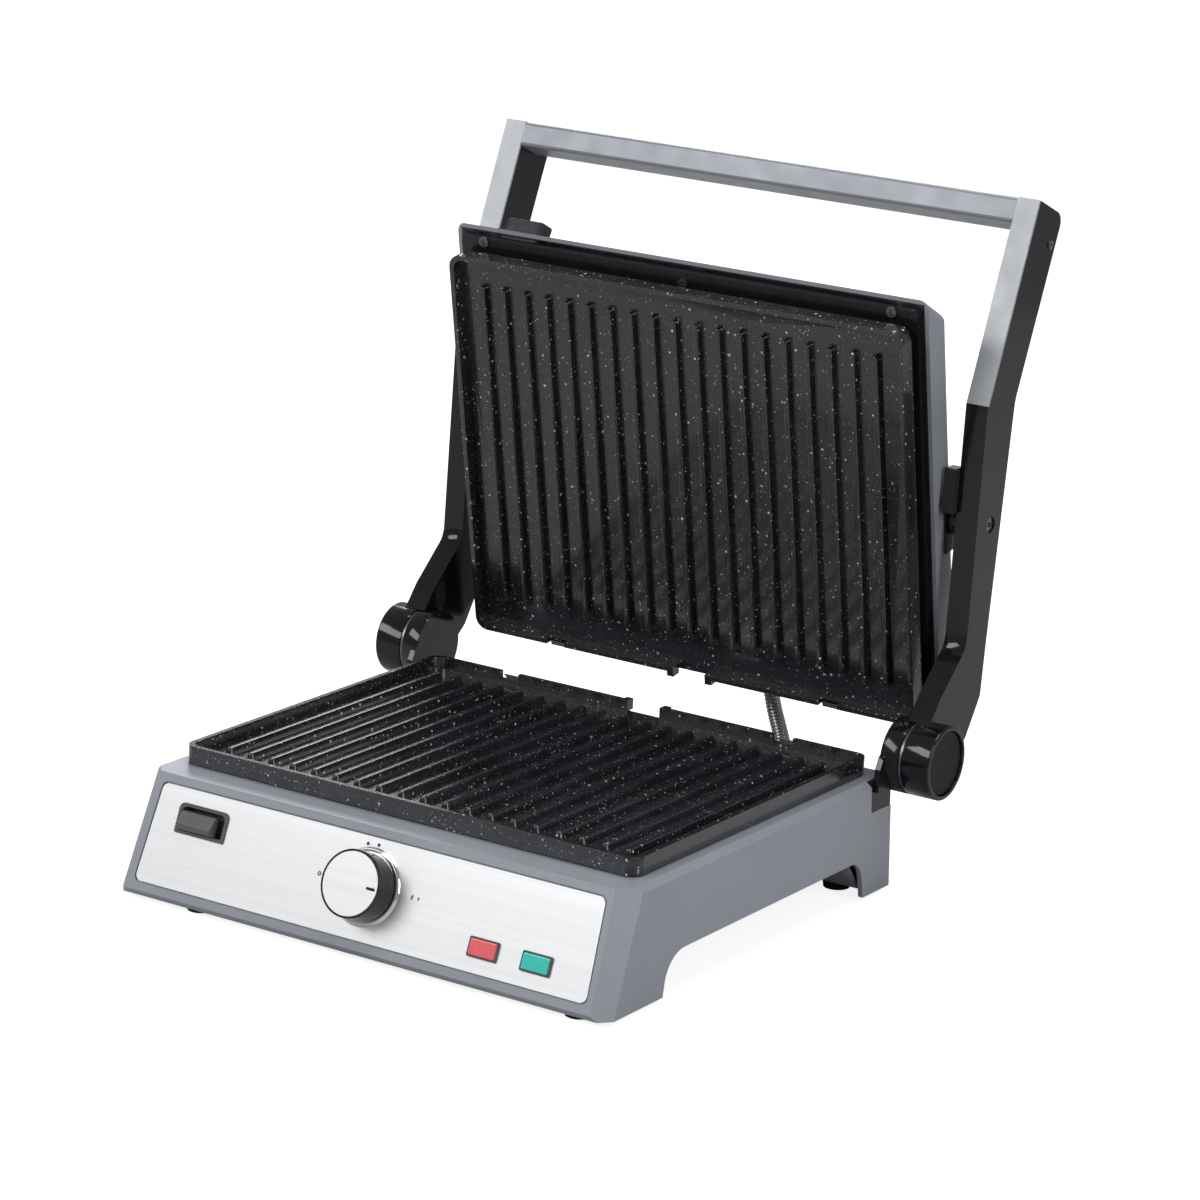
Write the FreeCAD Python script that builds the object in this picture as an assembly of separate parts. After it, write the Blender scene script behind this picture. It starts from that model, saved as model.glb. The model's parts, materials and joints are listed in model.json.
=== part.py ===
import FreeCAD, Part
import math
import os

V = FreeCAD.Vector

# Contact grill (panini press), modelled in its half-raised rest pose.
# Millimetres, +Z up, +X to the right, the front panel faces -Y. While modelling, Y = 0 is the middle
# of the lower plate; every piece is moved by ORIGIN_BEHIND when it is saved, so that the stored
# origin lies on the table under the middle of the whole press.

# ---- driving dimensions ----
ORIGIN_BEHIND = 36.7            # stored origin, behind the lower plate's middle

PLATE_WIDTH = 301.6
UPPER_PLATE_WIDTH = 306.6       # the lid's plate reaches a little further out
PLATE_DEPTH = 241.2
PLATE_CORNER = 8.0
PLATE_WALL = 3.0
PLATE_HEIGHT = 10.3             # rim to the foot of the outer wall
PLATE_POCKET = 7.0              # rim to the cooking floor
PLATE_FLOOR = 2.5
RIM_Z = 79.3                    # rim of the lower plate above the table
CLOSED_GAP = 0.6                # between the two rims when closed
DRAIN_HALF_WIDTH = 11.0
CLIP_X = 95.2                   # middle of each clip notch
CLIP_NOTCH = 12.6

RIB_COUNT = 19
RIB_PITCH = 14.8
RIB_FOOT = 6.0
RIB_CREST = 3.0
RIB_BELOW_RIM = 2.8
RIB_FRONT = -100.5
RIB_REAR = 98.5

HINGE_Y = 135.9
HINGE_Z = 79.1
KNUCKLE_R = 21.5
KNUCKLE_X = (160.6, 172.0)      # inner knuckle, fixed to the base
DISC_X = (172.3, 173.7)         # detent disc
BOSS_X = (174.0, 191.8)         # outer knuckle, on the arm
HINGE_PIN_R = 5.0
LID_PIN_R = 4.0
RUNNING_FIT = 0.05              # radial clearance of every turning pin

OPEN_ANGLE = 93.3               # arm, from closed to the rest pose
LID_TIP = 13.8                  # lid, nose down on its arms in the rest pose
PIVOT_D = 114.8                 # lid pivot, from the plate's hinge edge
PIVOT_H = 43.2                  # lid pivot, above the upper plate's rim plane

ARM_X = (168.0, 182.0)
TRIM_THICK = 1.5

WALL = 3.0                      # base housing
SHEET = 0.8                     # heat reflectors
DECK_Z = 68.4
SIDE_FOOT_Z = 2.6               # side walls end this far above the table
BACK_Y = 128.7
HALF_WIDTH_FOOT = 163.7
HALF_WIDTH_DECK = 161.0
FRONT_FOOT = (-164.3, 6.0)      # lower edge of the sloped front, y and z
FRONT_TOP = (-139.8, 67.9)
FRONT_HALF_WIDTH = (154.8, 150.9)       # of the front face, at its foot and at its top
BEVEL_BACK_Y = -127.7           # where the front corner bevel meets deck and side
CHEEK_EDGE = 4.0                # width of the bevel along the top of each cheek
ARCH_Z = 25.1
ARCH_FRONT = (-109.5, -103.5)   # y at the foot and under the crown
ARCH_REAR = (100.0, 96.0)
COVER_HALF_WIDTH = 158.0
COVER_THICK = 2.0
BRACKET_X = 157.7               # inner side of the hinge brackets' corner blocks
BRACKET_Y = 107.0               # front of the hinge brackets
FOOT_TOP_Z = 6.0

PANEL_THICK = 1.2
PANEL_SINK = 0.3                # fascia's face below the housing's front
KNOB_S = 34.5                   # knob centre, up the sloped front
KNOB_R = 18.7
KNOB_TOP = 15.4
LAMPS = ((81.7, "indicator_lens_red"), (115.5, "indicator_lens_green"))
LAMP_S = 19.0
LENS = (16.6, 8.8)
LATCH_X = (-131.8, -98.0)       # release pockets of both plates
LATCH_S = (36.5, 53.5)
BUTTON_TRAVEL = 3.0

LID_WALL = 2.5
LID_LIP_H = 19.5                # lid's lip above the rim plane
LID_BACK_H = 39.5
LID_HALF_WIDTH = 159.3
LID_BACK_HALF = 158.8
LID_D = (-6.0, 254.0)           # lip, from the plate's hinge edge
LID_BACK_D = (2.0, 239.0)
FRAME_H = 16.0                  # inner frame above the rim plane
FRAME_RIM_H = 19.3              # top of the frame's edge wall, behind the lid's lip
FRAME_HALF_WIDTH = 154.4
FRAME_SHEET = 2.0
FRAME_SCREWS = ((-138.0, 245.8), (0.0, 240.8), (138.0, 245.8))
UPPER_KEY_X = (-130.6, -105.0)  # release key of the upper plate

CONDUIT_R = 5.0
CONDUIT_X = 78.0                # where the conduit leaves the base
CONDUIT_Z = 50.0
LID_PORT_X = 38.0               # where it enters the lid
LID_PORT_H = 29.0
CORD_X = -100.0                 # inlet for the supply cord
CORD_Z = 38.0
TRAY_X = 56.0
TRAY_Z = (29.7, 46.0)


# ---- general shapes ----
def rounded_wire(points, to3d):
    """Closed outline; a third number in a point is the radius of its corner."""
    count = len(points)
    corners = []
    for i in range(count):
        here = V(points[i][0], points[i][1], 0)
        before = V(points[i - 1][0], points[i - 1][1], 0)
        after = V(points[(i + 1) % count][0], points[(i + 1) % count][1], 0)
        radius = points[i][2] if len(points[i]) > 2 else 0.0
        if radius == 0.0:
            corners.append((here, None, here))
            continue
        back = (before - here).normalize()
        ahead = (after - here).normalize()
        half = back.getAngle(ahead) / 2
        middle = (back + ahead).normalize()
        reach = radius / math.tan(half)
        crown = here + middle * (radius / math.sin(half) - radius)
        corners.append((here + back * reach, crown, here + ahead * reach))
    edges = []
    for i in range(count):
        start = corners[i - 1][2]
        first, crown, last = corners[i]
        if (first - start).Length > 1e-6:
            edges.append(Part.LineSegment(to3d(start), to3d(first)).toShape())
        if crown is not None:
            edges.append(Part.Arc(to3d(first), to3d(crown), to3d(last)).toShape())
    return Part.Wire(edges)


def prism(axis, points, low, high):
    """Outline extruded along an axis: points are (y, z), (x, z) or (x, y)."""
    if axis == "x":
        wire = rounded_wire(points, lambda p: V(low, p.x, p.y))
        return Part.Face(wire).extrude(V(high - low, 0, 0))
    if axis == "y":
        wire = rounded_wire(points, lambda p: V(p.x, low, p.y))
        return Part.Face(wire).extrude(V(0, high - low, 0))
    wire = rounded_wire(points, lambda p: V(p.x, p.y, low))
    return Part.Face(wire).extrude(V(0, 0, high - low))


def block(x, y, z):
    corner = V(min(x), min(y), min(z))
    return Part.makeBox(abs(x[1] - x[0]), abs(y[1] - y[0]), abs(z[1] - z[0]), corner)


def rounded_block(x, y, z, radius):
    """Box whose four upright edges are rounded."""
    outline = [(x[0], y[0], radius), (x[1], y[0], radius), (x[1], y[1], radius), (x[0], y[1], radius)]
    return prism("z", outline, z[0], z[1])


def rod(axis, centre, radius, low, high):
    starts = {
        "x": V(low, centre[0], centre[1]),
        "y": V(centre[0], low, centre[1]),
        "z": V(centre[0], centre[1], low),
    }
    along = {"x": V(1, 0, 0), "y": V(0, 1, 0), "z": V(0, 0, 1)}
    return Part.makeCylinder(radius, high - low, starts[axis], along[axis])


def ring(axis, centre, outer, inner, low, high):
    return rod(axis, centre, outer, low, high).cut(rod(axis, centre, inner, low - 1, high + 1))


def half_space(point, normal):
    """Large block that fills everything beyond a plane, on the side its normal points to."""
    size = 900.0
    slab = Part.makeBox(size, size, size, V(-size / 2, -size / 2, 0))
    slab.Placement = FreeCAD.Placement(point, FreeCAD.Rotation(V(0, 0, 1), normal))
    return slab


def tube(points, radius, inner=0.0):
    """Round bar or pipe along straight runs joined by tangent arcs."""
    stops = [V(*p) for p in points]
    edges = []
    start = stops[0]
    for i in range(1, len(stops) - 1):
        back = stops[i - 1] - stops[i]
        ahead = stops[i + 1] - stops[i]
        shorter = min(back.Length, ahead.Length)
        back.normalize()
        ahead.normalize()
        half = back.getAngle(ahead) / 2
        reach = 0.45 * shorter
        bend = reach * math.tan(half)
        middle = (back + ahead).normalize()
        crown = stops[i] + middle * (bend / math.sin(half) - bend)
        first = stops[i] + back * reach
        last = stops[i] + ahead * reach
        edges.append(Part.LineSegment(start, first).toShape())
        edges.append(Part.Arc(first, crown, last).toShape())
        start = last
    edges.append(Part.LineSegment(start, stops[-1]).toShape())
    path = Part.Wire(edges)
    direction = stops[1] - stops[0]

    def swept(r):
        section = Part.Wire([Part.makeCircle(r, stops[0], direction)])
        return path.makePipeShell([section], True, False)

    solid = swept(radius)
    return solid.cut(swept(inner)) if inner else solid


def mirrored(shape):
    return shape.mirror(V(0, 0, 0), V(1, 0, 0))


def joined(shapes):
    return shapes[0].fuse(shapes[1:]).removeSplitter() if len(shapes) > 1 else shapes[0]


def both_sides(shape):
    """The piece on +X and its mirror image, as two separate solids."""
    return Part.makeCompound([shape, mirrored(shape)])


def save(node, shape):
    solids = Part.makeCompound(shape.Solids).copy()
    solids.translate(V(0, -ORIGIN_BEHIND, 0))
    if not solids.isValid():
        print("not valid:", node)
    solids.exportStep("parts/" + node + ".step")


# ---- local frames ----
FRONT_SLOPE = V(0, FRONT_TOP[0] - FRONT_FOOT[0], FRONT_TOP[1] - FRONT_FOOT[1]).normalize()
FRONT_ANGLE = math.degrees(math.atan2(FRONT_SLOPE.z, FRONT_SLOPE.y))


def on_front(shape):
    """Local x, up the sloped front, outwards -> base."""
    placed = shape.copy()
    placed.rotate(V(0, 0, 0), V(1, 0, 0), FRONT_ANGLE)
    placed.translate(V(0, FRONT_FOOT[0], FRONT_FOOT[1]))
    return placed


def lid_y(d):
    return PLATE_DEPTH / 2 - d


def lid_z(h):
    return RIM_Z + CLOSED_GAP + h


def raised(shape):
    """Closed lid -> rest pose: tipped about its own pivot, then swung open with the arms."""
    placed = shape.copy()
    placed.rotate(V(0, lid_y(PIVOT_D), lid_z(PIVOT_H)), V(1, 0, 0), LID_TIP)
    placed.rotate(V(0, HINGE_Y, HINGE_Z), V(1, 0, 0), -OPEN_ANGLE)
    return placed


LID_SLOPE_ANGLE = math.degrees(math.atan2(LID_BACK_H - LID_LIP_H, LID_D[1] - LID_BACK_D[1]))


def on_lid_front(shape):
    """Local x, up the lid's front slope, outwards -> closed lid."""
    placed = shape.copy()
    placed.rotate(V(0, 0, 0), V(1, 0, 0), LID_SLOPE_ANGLE)
    mid_d = (LID_D[1] + LID_BACK_D[1]) / 2
    placed.translate(V(0, lid_y(mid_d), lid_z((LID_LIP_H + LID_BACK_H) / 2)))
    return placed


def turned_point(y, z, about, degrees):
    angle = math.radians(degrees)
    dy = y - about[0]
    dz = z - about[1]
    turned_y = about[0] + dy * math.cos(angle) - dz * math.sin(angle)
    turned_z = about[1] + dy * math.sin(angle) + dz * math.cos(angle)
    return turned_y, turned_z


def raised_point(d, h):
    """Where a point of the closed lid lies in the rest pose, as y and z."""
    tipped = turned_point(lid_y(d), lid_z(h), (lid_y(PIVOT_D), lid_z(PIVOT_H)), LID_TIP)
    return turned_point(tipped[0], tipped[1], (HINGE_Y, HINGE_Z), -OPEN_ANGLE)


PIVOT = raised_point(PIVOT_D, PIVOT_H)
HINGE = (HINGE_Y, HINGE_Z)


# ---- base housing ----
def front_y(z):
    slope = (FRONT_TOP[0] - FRONT_FOOT[0]) / (FRONT_TOP[1] - FRONT_FOOT[1])
    return FRONT_FOOT[0] + (z - FRONT_FOOT[1]) * slope


def side_normal():
    return V(DECK_Z - SIDE_FOOT_Z, 0, HALF_WIDTH_FOOT - HALF_WIDTH_DECK).normalize()


def base_block(inset):
    """Outside of the base, or the same form drawn in by a wall and open below."""
    top = DECK_Z - inset
    back = BACK_Y - inset
    drawn = inset / FRONT_SLOPE.z
    if inset:
        foot = -5.0
        front = [(front_y(foot) + drawn, foot)]
    else:
        foot = SIDE_FOOT_Z
        front = [(FRONT_FOOT[0] + 2.0, foot), FRONT_FOOT]
    profile = front + [(front_y(top) + drawn, top), (back, top), (back, foot)]
    body = prism("x", profile, -190.0, 190.0)
    flank = side_normal()
    edge_low = V(FRONT_HALF_WIDTH[0], FRONT_FOOT[0], FRONT_FOOT[1])
    edge_high = V(FRONT_HALF_WIDTH[1], FRONT_TOP[0], FRONT_TOP[1])
    back_high = V(HALF_WIDTH_DECK, BEVEL_BACK_Y, DECK_Z)
    bevel = (edge_high - edge_low).cross(back_high - edge_low).normalize()
    if bevel.x < 0:
        bevel = bevel * -1
    cutters = [
        half_space(V(HALF_WIDTH_FOOT, 0, SIDE_FOOT_Z) - flank * inset, flank),
        half_space(edge_low - bevel * inset, bevel),
    ]
    for cutter in cutters:
        body = body.cut(cutter)
        body = body.cut(mirrored(cutter))
    return body


def arch():
    """Open underside between the front and rear legs."""
    outline = [(ARCH_FRONT[0], -1.0), (ARCH_FRONT[1], ARCH_Z, 20.0)]
    outline += [(ARCH_REAR[1], ARCH_Z, 12.0), (ARCH_REAR[0], -1.0)]
    return prism("x", outline, -200.0, 200.0)


def fascia_outline(grow):
    low = 150.1 + grow
    high = 146.7 + grow
    foot = 5.4 - grow
    top = 61.5 + grow
    return [(-low, foot, 4.0), (low, foot, 4.0), (high, top, 4.0), (-high, top, 4.0)]


def latch_window(grow):
    x = (LATCH_X[0] - grow, LATCH_X[1] + grow)
    s = (LATCH_S[0] - grow, LATCH_S[1] + grow)
    return [(x[0], s[0], 0.8), (x[1], s[0], 0.8), (x[1], s[1], 3.5), (x[0], s[1], 3.5)]


def lamp_window(x, grow):
    half_x = LENS[0] / 2 + grow
    half_s = LENS[1] / 2 + grow
    corners = ((-1, -1), (1, -1), (1, 1), (-1, 1))
    return [(x + half_x * i, LAMP_S + half_s * j, 1.0) for i, j in corners]


def front_holes(grow):
    """Everything that passes through the fascia and the wall behind it."""
    holes = [prism("z", latch_window(grow), -12.0, 6.0)]
    holes.append(rod("z", (0, KNOB_S), 4.4 + grow, -12.0, 6.0))
    for x, _ in LAMPS:
        holes.append(prism("z", lamp_window(x, 0.7 + grow), -12.0, 6.0))
    return [on_front(hole) for hole in holes]


def base_housing():
    body = base_block(0).cut(base_block(WALL)).cut(arch())
    body = body.cut(on_front(prism("z", fascia_outline(0.9), -1.6, 5.0)))
    for hole in front_holes(0.2):
        body = body.cut(hole)
    body = body.cut(rounded_block((-146, 146), (-116.5, 116.5), (60, 75), 6.0))
    body = body.cut(block((-14.2, 14.2), (110, 124.1), (60, 75)))
    body = body.cut(block((-TRAY_X - 0.6, TRAY_X + 0.6), (110, 140), (TRAY_Z[0] - 0.3, TRAY_Z[1] + 0.8)))
    body = body.cut(rod("y", (CORD_X, CORD_Z), 8.0, 110, 140))
    body = body.cut(rod("y", (CONDUIT_X, CONDUIT_Z), 7.0, 110, 140))
    corner = block((BRACKET_X - 0.2, 200), (BRACKET_Y - 0.2, 140), (50.5, 80))
    inner = HALF_WIDTH_DECK - CHEEK_EDGE
    edge = prism("y", [(inner, DECK_Z), (inner + 20, DECK_Z - 15), (inner + 20, DECK_Z + 5)], -200, 140)
    for cutter in (corner, edge):
        body = body.cut(cutter).cut(mirrored(cutter))
    return body


def base_bottom_cover():
    """Pressed sheet that closes both legs and follows the arch between them."""
    low = FOOT_TOP_Z
    high = ARCH_Z + 0.3
    t = COVER_THICK
    front = ARCH_FRONT[0]
    crown_front = ARCH_FRONT[1] + 11.5
    crown_rear = ARCH_REAR[1] - 10.0
    rear = ARCH_REAR[0] + 2.5
    end = BACK_Y - WALL - 0.5
    lower = [(-157, low), (front - 2, low), (front + 1, 12.1, 6.0), (crown_front, high, 16.0)]
    lower += [(crown_rear, high, 8.0), (rear, low), (end, low)]
    upper = [(end, low + t), (rear + 1.3, low + t), (crown_rear + 1, high + t, 8.0)]
    upper += [(crown_front - 1, high + t, 16.0), (front - 1, 13.1, 6.0), (front - 3.5, low + t), (-157, low + t)]
    return prism("x", lower + upper, -COVER_HALF_WIDTH, COVER_HALF_WIDTH)


# ---- front panel ----
def control_panel():
    sheet = prism("z", fascia_outline(0), -PANEL_SINK - PANEL_THICK, -PANEL_SINK)
    sheet = on_front(sheet)
    for hole in front_holes(0.1):
        sheet = sheet.cut(hole)
    return sheet


def knob_ring():
    outer = 22.0
    dish = Part.makeCone(outer, outer - 1.4, 1.5, V(0, KNOB_S, -PANEL_SINK))
    return on_front(dish.cut(rod("z", (0, KNOB_S), 5.0, -2, 3)))


def thermostat_knob():
    centre = (0, KNOB_S)
    body = Part.makeCone(KNOB_R + 0.4, KNOB_R, KNOB_TOP - 1.6, V(0, KNOB_S, 1.6))
    body = body.cut(rod("z", centre, KNOB_R - 1.1, KNOB_TOP - 1.0, KNOB_TOP + 1))
    body = body.cut(rod("z", centre, KNOB_R - 2.0, 0, 4.0))
    return on_front(body.cut(rod("z", centre, 3.0, 3.0, 11.0)))


def knob_cap():
    disc = rod("z", (0, KNOB_S), KNOB_R - 1.2, KNOB_TOP - 1.0, KNOB_TOP - 0.1)
    pointer = rounded_block((10.6, 16.4), (KNOB_S - 0.8, KNOB_S + 0.8), (KNOB_TOP - 0.6, KNOB_TOP + 1), 0.75)
    return on_front(disc.cut(pointer))


def thermostat_shaft():
    return on_front(rod("z", (0, KNOB_S), 3.0, -18.0, 11.0))


def thermostat_body():
    centre = (0, KNOB_S)
    body = rounded_block((-22, 22), (KNOB_S - 17, KNOB_S + 17), (-26.0, -3.3), 3.0)
    bush = rod("z", centre, 4.2, -4.0, -0.2)
    solid = body.fuse(bush).cut(rod("z", centre, 3.0 + RUNNING_FIT, -18.3, 2.0))
    return on_front(solid.removeSplitter())


def indicator_bezel(x):
    flange = prism("z", lamp_window(x, 1.1), -PANEL_SINK, 1.0)
    sleeve = prism("z", lamp_window(x, 0.6), -6.0, 1.0)
    hole = prism("z", lamp_window(x, 0.1), -7.0, 3.0)
    return on_front(flange.fuse(sleeve).cut(hole).removeSplitter())


def indicator_lens(x):
    lens = prism("z", lamp_window(x, 0), -5.0, 1.8)
    rim = [edge for edge in lens.Edges if abs(edge.CenterOfMass.z - 1.8) < 1e-6]
    return on_front(lens.makeFillet(0.7, rim))


def pilot_lamp(x):
    return on_front(rod("z", (x, LAMP_S), 3.2, -19.0, -5.2))


def release_bezel():
    """Pocket behind the fascia, with a slot in its floor for the button's stem."""
    pocket = prism("z", latch_window(0), -8.0, 0.7)
    hollow = prism("z", latch_window(-1.8), -6.5, 2.0)
    slot = block((-124.0, -112.0), (40.5, 47.5), (-9, -6))
    return on_front(pocket.cut(hollow).cut(slot))


def release_button():
    """Wedge-shaped tab, proud of the fascia at its lower end."""
    wedge = [(38.6, -3.0), (49.8, -3.0), (49.0, 1.0, 1.0), (41.5, 4.2, 1.0), (38.6, 3.4, 0.8)]
    tab = prism("x", wedge, -129.3, -106.0)
    stem = block((-123.6, -112.4), (40.9, 47.1), (-14.0, -2.9))
    return on_front(tab.fuse(stem).removeSplitter())


# ---- cooking plates ----
def rib_section():
    foot = RIB_FOOT / 2
    crest = RIB_CREST / 2
    return foot, crest, -PLATE_POCKET - 0.3, -RIB_BELOW_RIM


def rib(x):
    foot, crest, low, high = rib_section()
    bar = prism("y", [(-foot, low), (foot, low), (crest, high, 1.1), (-crest, high, 1.1)], RIB_FRONT, RIB_REAR)
    half = rounded_wire([(0, low), (foot, low), (crest, high, 1.1), (0, high)], lambda p: V(p.x, 0, p.y))
    nose = Part.Face(half).revolve(V(0, 0, 0), V(0, 0, 1), 360)
    shapes = [bar]
    for end in (RIB_FRONT, RIB_REAR):
        cap = nose.copy()
        cap.translate(V(0, end, 0))
        shapes.append(cap)
    whole = shapes[0].fuse(shapes[1:])
    whole.translate(V(x, 0, 0))
    return whole


def cooking_plate(width):
    """One plate with its rim plane at z = 0, cooking side up and the drain edge at +Y."""
    half_x = width / 2
    half_y = PLATE_DEPTH / 2
    inner_x = half_x - PLATE_WALL
    inner_y = half_y - PLATE_WALL
    plate = rounded_block((-half_x, half_x), (-half_y, half_y), (-PLATE_HEIGHT, 0), PLATE_CORNER)
    pocket = rounded_block((-inner_x, inner_x), (-inner_y, inner_y), (-PLATE_POCKET, 2), PLATE_CORNER - 2)
    under = (-PLATE_HEIGHT - 2, -PLATE_POCKET - PLATE_FLOOR)
    plate = plate.cut(pocket)
    plate = plate.cut(rounded_block((-inner_x, inner_x), (-inner_y, inner_y), under, PLATE_CORNER - 2))
    first = -RIB_PITCH * (RIB_COUNT - 1) / 2
    plate = plate.fuse([rib(first + RIB_PITCH * i) for i in range(RIB_COUNT)])
    # small lugs beside the drain gap
    for side in (-1, 1):
        x = side * (DRAIN_HALF_WIDTH + 2.2)
        plate = plate.fuse(block((x - 2.2, x + 2.2), (half_y - 1.0, half_y + 3.0), (-6.5, 0)))
    gap = block((-DRAIN_HALF_WIDTH, DRAIN_HALF_WIDTH), (half_y - 4, half_y + 4), (-PLATE_POCKET, 2))
    plate = plate.cut(gap)
    for side in (-1, 1):
        notch = block((-CLIP_NOTCH / 2, CLIP_NOTCH / 2), (half_y - 4, half_y + 4), (-4.6, 2))
        notch.translate(V(side * CLIP_X, 0, 0))
        plate = plate.cut(notch)
    return plate.removeSplitter()


def plate_clip():
    """Spring strip that hooks over the notch in the plate's drain edge."""
    edge = PLATE_DEPTH / 2
    foot = DECK_Z - RIM_Z
    strip = [(edge + 0.4, foot), (edge + 1.4, foot), (edge + 1.4, -2.6, 0.8), (edge - 1.6, -1.8)]
    strip += [(edge - 1.6, -2.8), (edge + 0.4, -3.6, 0.4)]
    return prism("x", strip, CLIP_X - 4.5, CLIP_X + 4.5)


def heating_element():
    """Looped rod under a plate's floor, at z below the rim plane."""
    z = -PLATE_POCKET - PLATE_FLOOR - 4.6
    start = -112.0
    path = [(start, -58, z), (60, -58, z), (112, -40, z), (112, 40, z), (60, 58, z), (start, 58, z)]
    return tube(path, 3.3)


def heat_reflector(half_x, half_y, flange_x, flange_y, top, floor):
    """Open sheet pan with a flange around its mouth, mouth up."""
    pan = rounded_block((-half_x, half_x), (-half_y, half_y), (floor, top), 8.0)
    inner_x = half_x - SHEET
    inner_y = half_y - SHEET
    hollow = rounded_block((-inner_x, inner_x), (-inner_y, inner_y), (floor + SHEET, top + 2), 7.2)
    flange = block((-flange_x, flange_x), (-flange_y, flange_y), (top - SHEET, top))
    return pan.fuse(flange).cut(hollow).removeSplitter()


def to_lower(shape):
    placed = shape.copy()
    placed.translate(V(0, 0, RIM_Z))
    return placed


def to_upper(shape):
    """Turned over above the lower plate, drain edge still at the hinge."""
    placed = shape.copy()
    placed.rotate(V(0, 0, 0), V(0, 1, 0), 180)
    placed.translate(V(0, 0, lid_z(0)))
    return raised(placed)


def lower_reflector():
    pan = heat_reflector(136, 106, 149.5, 119.0, DECK_Z - WALL, 56.0)
    return pan.cut(block((-17, 17), (115, 121), (50, 70)))


def upper_reflector():
    top = lid_z(FRAME_H + FRAME_SHEET)
    pan = heat_reflector(130, 106, 133, 109, 0, -12.0)
    pan.rotate(V(0, 0, 0), V(0, 1, 0), 180)
    pan.translate(V(0, 0, top))
    return raised(pan)


# ---- base details ----
def front_feet():
    feet = []
    for x in (-111.0, 140.0):
        feet.append(Part.makeCone(7.6, 8.6, FOOT_TOP_Z, V(x, -152.0, 0)))
    return Part.makeCompound(feet)


def rear_feet():
    return both_sides(Part.makeCone(7.6, 8.6, FOOT_TOP_Z, V(138.0, 114.0, 0)))


def base_screws():
    spots = ((-60, -140), (60, -140), (-120, 60), (120, 60), (-120, -60), (120, -60))
    screws = []
    for x, y in spots:
        head_top = FOOT_TOP_Z if y < -100 else ARCH_Z + 0.3
        head = rod("z", (x, y), 3.5, head_top - 1.8, head_top)
        cross = block((x - 2, x + 2), (y - 0.5, y + 0.5), (head_top - 3, head_top - 0.9))
        cross = cross.fuse(block((x - 0.5, x + 0.5), (y - 2, y + 2), (head_top - 3, head_top - 0.9)))
        screws.append(head.cut(cross))
    return Part.makeCompound(screws)


def drip_tray():
    low, high = TRAY_Z
    face = BACK_Y + 0.3
    body = rounded_block((-TRAY_X, TRAY_X), (36, face), (low, high), 3.0)
    hollow = rounded_block((-TRAY_X + 1.6, TRAY_X - 1.6), (37.6, face - 1.8), (low + 1.6, high + 2), 2.0)
    front = block((-TRAY_X - 3, TRAY_X + 3), (face, face + 2.4), (low, high + 2.6))
    lip = face + 2.4
    grip = prism("x", [(lip, 36), (lip + 5, 38, 1.0), (lip + 5, 40, 1.0), (lip, 40)], -22, 22)
    return joined([body, front, grip]).cut(hollow)


def tray_guides():
    rail = [(TRAY_X + 0.8, 29.4), (TRAY_X + 4.0, 29.4), (TRAY_X + 4.0, 50.0), (TRAY_X - 3.0, 50.0)]
    rail += [(TRAY_X - 3.0, 48.8), (TRAY_X + 0.8, 48.8)]
    return both_sides(prism("y", rail, 40.0, 121.0))


def grease_chute():
    gutter = block((-14.0, 14.0), (117.6, 123.9), (52.0, DECK_Z))
    return gutter.cut(block((-12.6, 12.6), (110, 122.5), (50, 80)))


def cord_gland():
    """Inlet for the supply cord."""
    neck = rod("y", (CORD_X, CORD_Z), 7.8, 122.0, BACK_Y)
    collar = rod("y", (CORD_X, CORD_Z), 10.5, BACK_Y, BACK_Y + 2.5)
    snout = Part.makeCone(8.0, 6.2, 7.0, V(CORD_X, BACK_Y + 2.5, CORD_Z), V(0, 1, 0))
    return joined([neck, collar, snout]).cut(rod("y", (CORD_X, CORD_Z), 3.8, 110, 150))


def terminal_block():
    low = ARCH_Z + 0.3 + COVER_THICK
    body = block((-128, -96), (62, 82), (low, low + 14.0))
    wells = [rod("z", (x, 72), 2.6, low + 8.0, low + 20.0) for x in (-121, -112, -103)]
    return body.cut(wells[0]).cut(wells[1]).cut(wells[2])


def ferrule(point, direction, length):
    outer = Part.makeCylinder(8.0, 2.5, point, direction)
    neck = Part.makeCylinder(6.8, length, point - direction * (length - 2.5), direction)
    bore = Part.makeCylinder(CONDUIT_R + 0.2, 60, point - direction * 30, direction)
    return outer.fuse(neck).cut(bore).removeSplitter()


def hinge_bracket():
    """Right inner knuckle with the block that fills the base's rear corner."""
    flank = side_normal()
    corner = block((BRACKET_X, 180.0), (BRACKET_Y, BACK_Y), (50.8, DECK_Z))
    corner = corner.cut(half_space(V(HALF_WIDTH_FOOT, 0, SIDE_FOOT_Z) - flank * 0.4, flank))
    inside = block((BRACKET_X - 8, BRACKET_X), (BRACKET_Y, BACK_Y - WALL - 0.2), (50.8, DECK_Z - WALL - 0.2))
    knuckle = rod("x", HINGE, KNUCKLE_R, KNUCKLE_X[0], KNUCKLE_X[1])
    web_outline = [(109.5, 62.0), (128.0, 62.0), (134.0, 84.0), (113.5, 83.0, 4.0), (109.5, 75.0, 3.0)]
    web = prism("x", web_outline, KNUCKLE_X[0], 164.0)
    bore = rod("x", HINGE, HINGE_PIN_R, KNUCKLE_X[0] + 2.4, KNUCKLE_X[1] + 1)
    return joined([corner, inside, web, knuckle]).cut(bore)


def hinge_pin():
    return rod("x", HINGE, HINGE_PIN_R, KNUCKLE_X[0] + 2.4, 185.5)


def hinge_disc():
    return ring("x", HINGE, KNUCKLE_R - 0.6, HINGE_PIN_R + RUNNING_FIT, DISC_X[0], DISC_X[1])


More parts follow.
